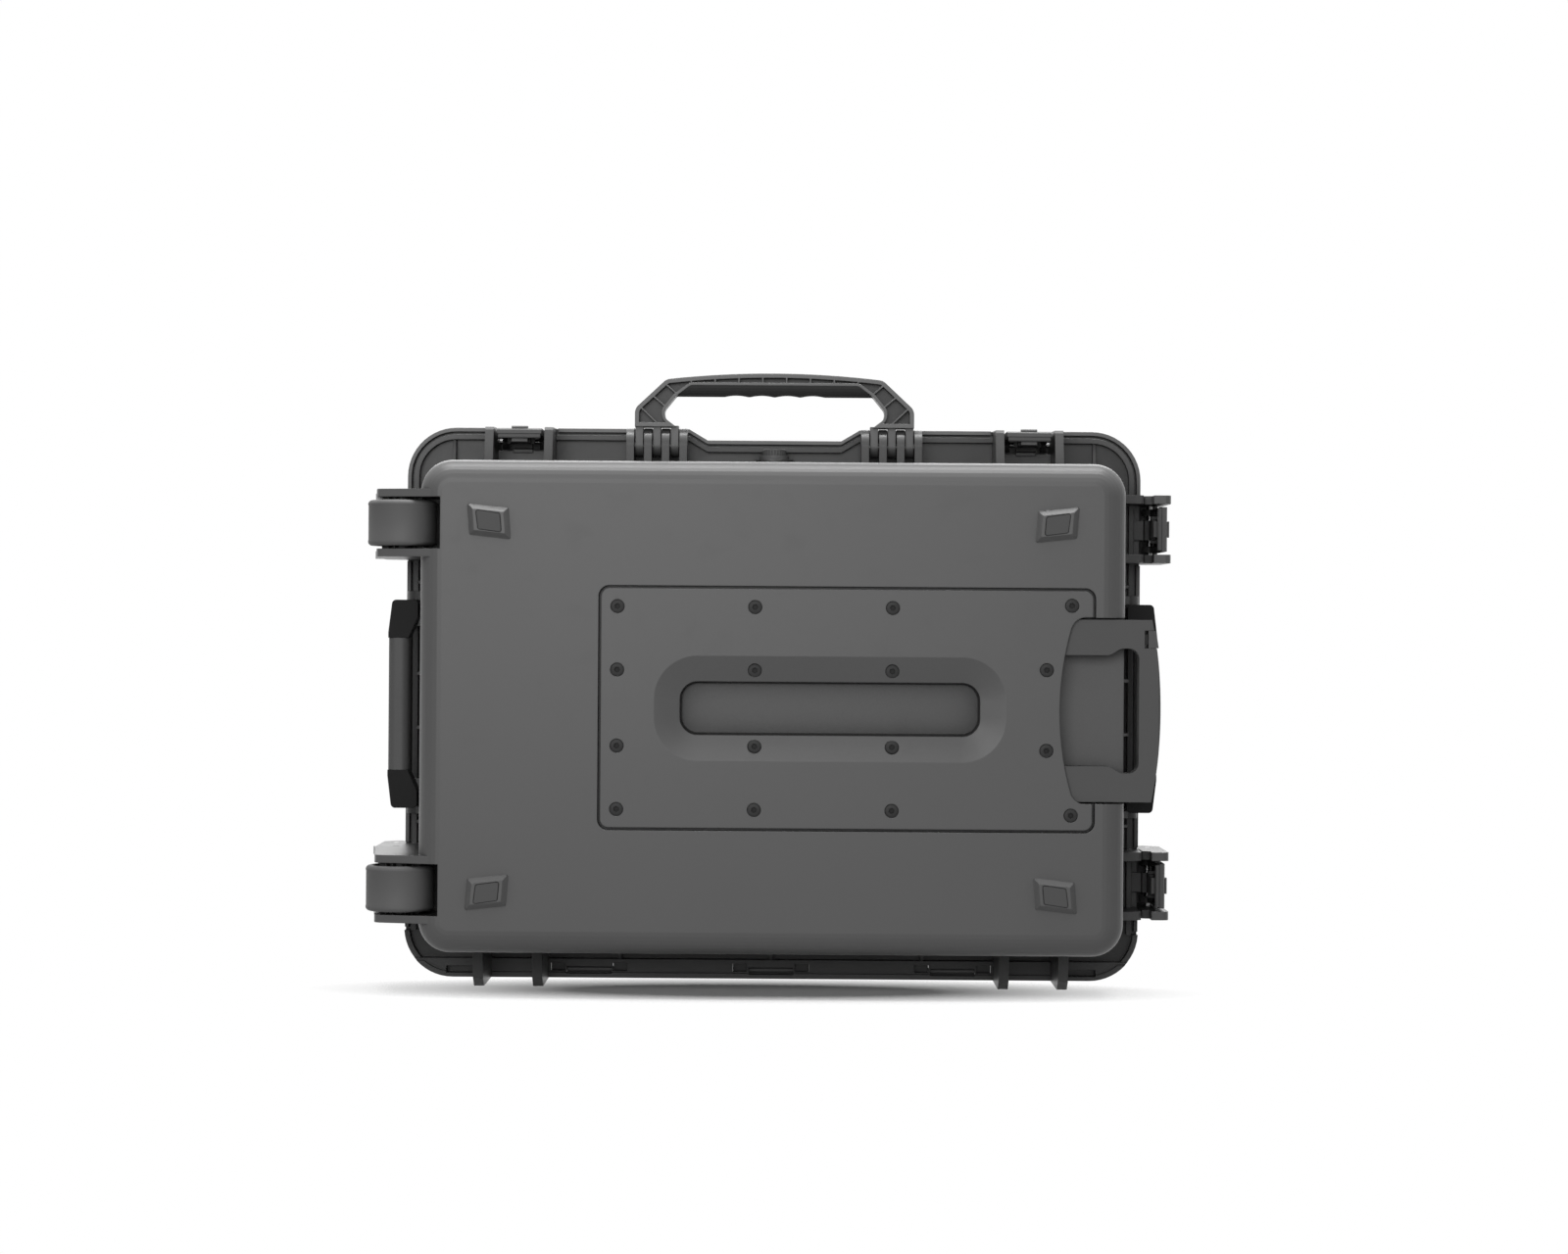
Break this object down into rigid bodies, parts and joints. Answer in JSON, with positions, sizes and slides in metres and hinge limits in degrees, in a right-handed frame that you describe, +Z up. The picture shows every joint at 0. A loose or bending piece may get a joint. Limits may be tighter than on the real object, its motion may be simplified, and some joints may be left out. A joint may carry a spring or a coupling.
{
  "type": "wheeled protective case",
  "caption": "Hard-shell protective case with a hinged lid, snap latches, folding handles, a telescopic trolley grip and two wheels.",
  "frame": {"origin": "on the plane that the case stands on, under the middle of its overall box", "axes": "+Z up through the carry handle, +X from the wheels to the trolley grip, +Y from the bottom of the base to the top of the lid"},
  "size_m": [0.7212, 0.285, 0.5547],
  "materials": {
    "shell_plastic": "fine-grained grey moulded plastic",
    "dark_plastic": "darker grey moulded plastic",
    "black_plastic": "black moulded plastic",
    "rubber": "soft matt black rubber",
    "grey_rubber": "grey rubber, near the shade of the shell",
    "black_steel": "black-coated screws",
    "tyre_rubber": "hard matt tyre",
    "steel": "plain zinc-plated steel",
    "aluminium": "clear-anodised tube"
  },
  "bodies": {
    "base": {"base_shell": "shell_plastic", "rubber_feet": "grey_rubber", "trolley_cover": "shell_plastic", "cover_screws": "black_steel", "outer_tubes": "aluminium", "tube_collars": "dark_plastic", "wheel_axles": "steel", "carry_handle_pins": "steel", "side_handle_pins": "steel", "hinge_pins": "steel", "valve_body": "dark_plastic", "valve_cap": "dark_plastic"},
    "lid": {"lid_shell": "shell_plastic", "lid_gasket": "rubber", "latch_pins": "steel"},
    "carry_handle": {"carry_handle": "shell_plastic", "carry_handle_grip": "rubber"},
    "left_handle": {"left_handle": "black_plastic", "left_handle_grip": "dark_plastic"},
    "right_handle": {"right_handle": "black_plastic", "right_handle_grip": "dark_plastic"},
    "trolley": {"trolley_grip": "dark_plastic", "inner_tubes": "aluminium", "tube_guides": "dark_plastic", "release_rods": "steel", "lock_bolts": "steel", "grip_screws": "steel", "trigger_spring": "steel"},
    "trigger": {"trolley_trigger": "dark_plastic"},
    "wheel_upper": {"tyre_upper": "tyre_rubber", "hub_upper": "dark_plastic", "bushes_upper": "dark_plastic"},
    "wheel_lower": {"tyre_lower": "tyre_rubber", "hub_lower": "dark_plastic", "bushes_lower": "dark_plastic"},
    "latch_front_left": {"latch_front_left": "dark_plastic"},
    "claw_front_left": {"claw_front_left": "dark_plastic"},
    "latch_front_right": {"latch_front_right": "dark_plastic"},
    "claw_front_right": {"claw_front_right": "dark_plastic"},
    "latch_right_upper": {"latch_right_upper": "dark_plastic"},
    "claw_right_upper": {"claw_right_upper": "dark_plastic"},
    "latch_right_lower": {"latch_right_lower": "dark_plastic"},
    "claw_right_lower": {"claw_right_lower": "dark_plastic"},
    "latch_left_upper": {"latch_left_upper": "dark_plastic"},
    "claw_left_upper": {"claw_left_upper": "dark_plastic"},
    "latch_left_lower": {"latch_left_lower": "dark_plastic"},
    "claw_left_lower": {"claw_left_lower": "dark_plastic"}
  },
  "joints": [
    {"name": "lid_hinge", "type": "hinge", "parent": "base", "child": "lid", "pos_m": [0, 0.0625, 0.0071], "axis": [-1, 0, 0], "range_deg": [0, 95]},
    {"name": "latch_front_left", "type": "hinge", "parent": "lid", "child": "latch_front_left", "pos_m": [-0.2315, 0.0785, 0.49386], "axis": [-1, 0, 0], "range_deg": [0, 110]},
    {"name": "claw_front_left", "type": "hinge", "parent": "latch_front_left", "child": "claw_front_left", "pos_m": [-0.2315, 0.0325, 0.49286], "axis": [1, 0, 0], "range_deg": [0, 12], "stiffness_Nm_per_rad": 0.3},
    {"name": "latch_front_right", "type": "hinge", "parent": "lid", "child": "latch_front_right", "pos_m": [0.2315, 0.0785, 0.49386], "axis": [-1, 0, 0], "range_deg": [0, 110]},
    {"name": "claw_front_right", "type": "hinge", "parent": "latch_front_right", "child": "claw_front_right", "pos_m": [0.2315, 0.0325, 0.49286], "axis": [1, 0, 0], "range_deg": [0, 12], "stiffness_Nm_per_rad": 0.3},
    {"name": "latch_right_upper", "type": "hinge", "parent": "lid", "child": "latch_right_upper", "pos_m": [0.34823, 0.0785, 0.41493], "axis": [0, 0, 1], "range_deg": [0, 110]},
    {"name": "claw_right_upper", "type": "hinge", "parent": "latch_right_upper", "child": "claw_right_upper", "pos_m": [0.34723, 0.0325, 0.41493], "axis": [0, 0, -1], "range_deg": [0, 12], "stiffness_Nm_per_rad": 0.3},
    {"name": "latch_right_lower", "type": "hinge", "parent": "lid", "child": "latch_right_lower", "pos_m": [0.34823, 0.0785, 0.09093], "axis": [0, 0, 1], "range_deg": [0, 110]},
    {"name": "claw_right_lower", "type": "hinge", "parent": "latch_right_lower", "child": "claw_right_lower", "pos_m": [0.34723, 0.0325, 0.09093], "axis": [0, 0, -1], "range_deg": [0, 12], "stiffness_Nm_per_rad": 0.3},
    {"name": "latch_left_upper", "type": "hinge", "parent": "lid", "child": "latch_left_upper", "pos_m": [-0.34823, 0.0785, 0.41493], "axis": [0, 0, -1], "range_deg": [0, 110]},
    {"name": "claw_left_upper", "type": "hinge", "parent": "latch_left_upper", "child": "claw_left_upper", "pos_m": [-0.34723, 0.0325, 0.41493], "axis": [0, 0, 1], "range_deg": [0, 12], "stiffness_Nm_per_rad": 0.3},
    {"name": "latch_left_lower", "type": "hinge", "parent": "lid", "child": "latch_left_lower", "pos_m": [-0.34823, 0.0785, 0.09093], "axis": [0, 0, -1], "range_deg": [0, 110]},
    {"name": "claw_left_lower", "type": "hinge", "parent": "latch_left_lower", "child": "claw_left_lower", "pos_m": [-0.34723, 0.0325, 0.09093], "axis": [0, 0, 1], "range_deg": [0, 12], "stiffness_Nm_per_rad": 0.3},
    {"name": "carry_handle_hinge", "type": "hinge", "parent": "base", "child": "carry_handle", "pos_m": [0, 0.0305, 0.48867], "axis": [1, 0, 0], "range_deg": [0, 86]},
    {"name": "left_handle_hinge", "type": "hinge", "parent": "base", "child": "left_handle", "pos_m": [-0.32483, 0.0305, 0.25293], "axis": [0, 0, -1], "range_deg": [0, 88]},
    {"name": "right_handle_hinge", "type": "hinge", "parent": "base", "child": "right_handle", "pos_m": [0.32483, 0.0305, 0.25293], "axis": [0, 0, 1], "range_deg": [0, 88]},
    {"name": "trolley_slide", "type": "slide", "parent": "base", "child": "trolley", "axis": [1, 0, 0], "range_m": [0, 0.32]},
    {"name": "trigger_press", "type": "slide", "parent": "trolley", "child": "trigger", "axis": [-1, 0, 0], "range_m": [0, 0.003], "stiffness_N_per_m": 800},
    {"name": "wheel_upper", "type": "hinge", "parent": "base", "child": "wheel_upper", "pos_m": [-0.325, -0.1045, 0.41253], "axis": [0, 0, 1], "continuous": true},
    {"name": "wheel_lower", "type": "hinge", "parent": "base", "child": "wheel_lower", "pos_m": [-0.325, -0.1045, 0.09333], "axis": [0, 0, 1], "continuous": true}
  ]
}
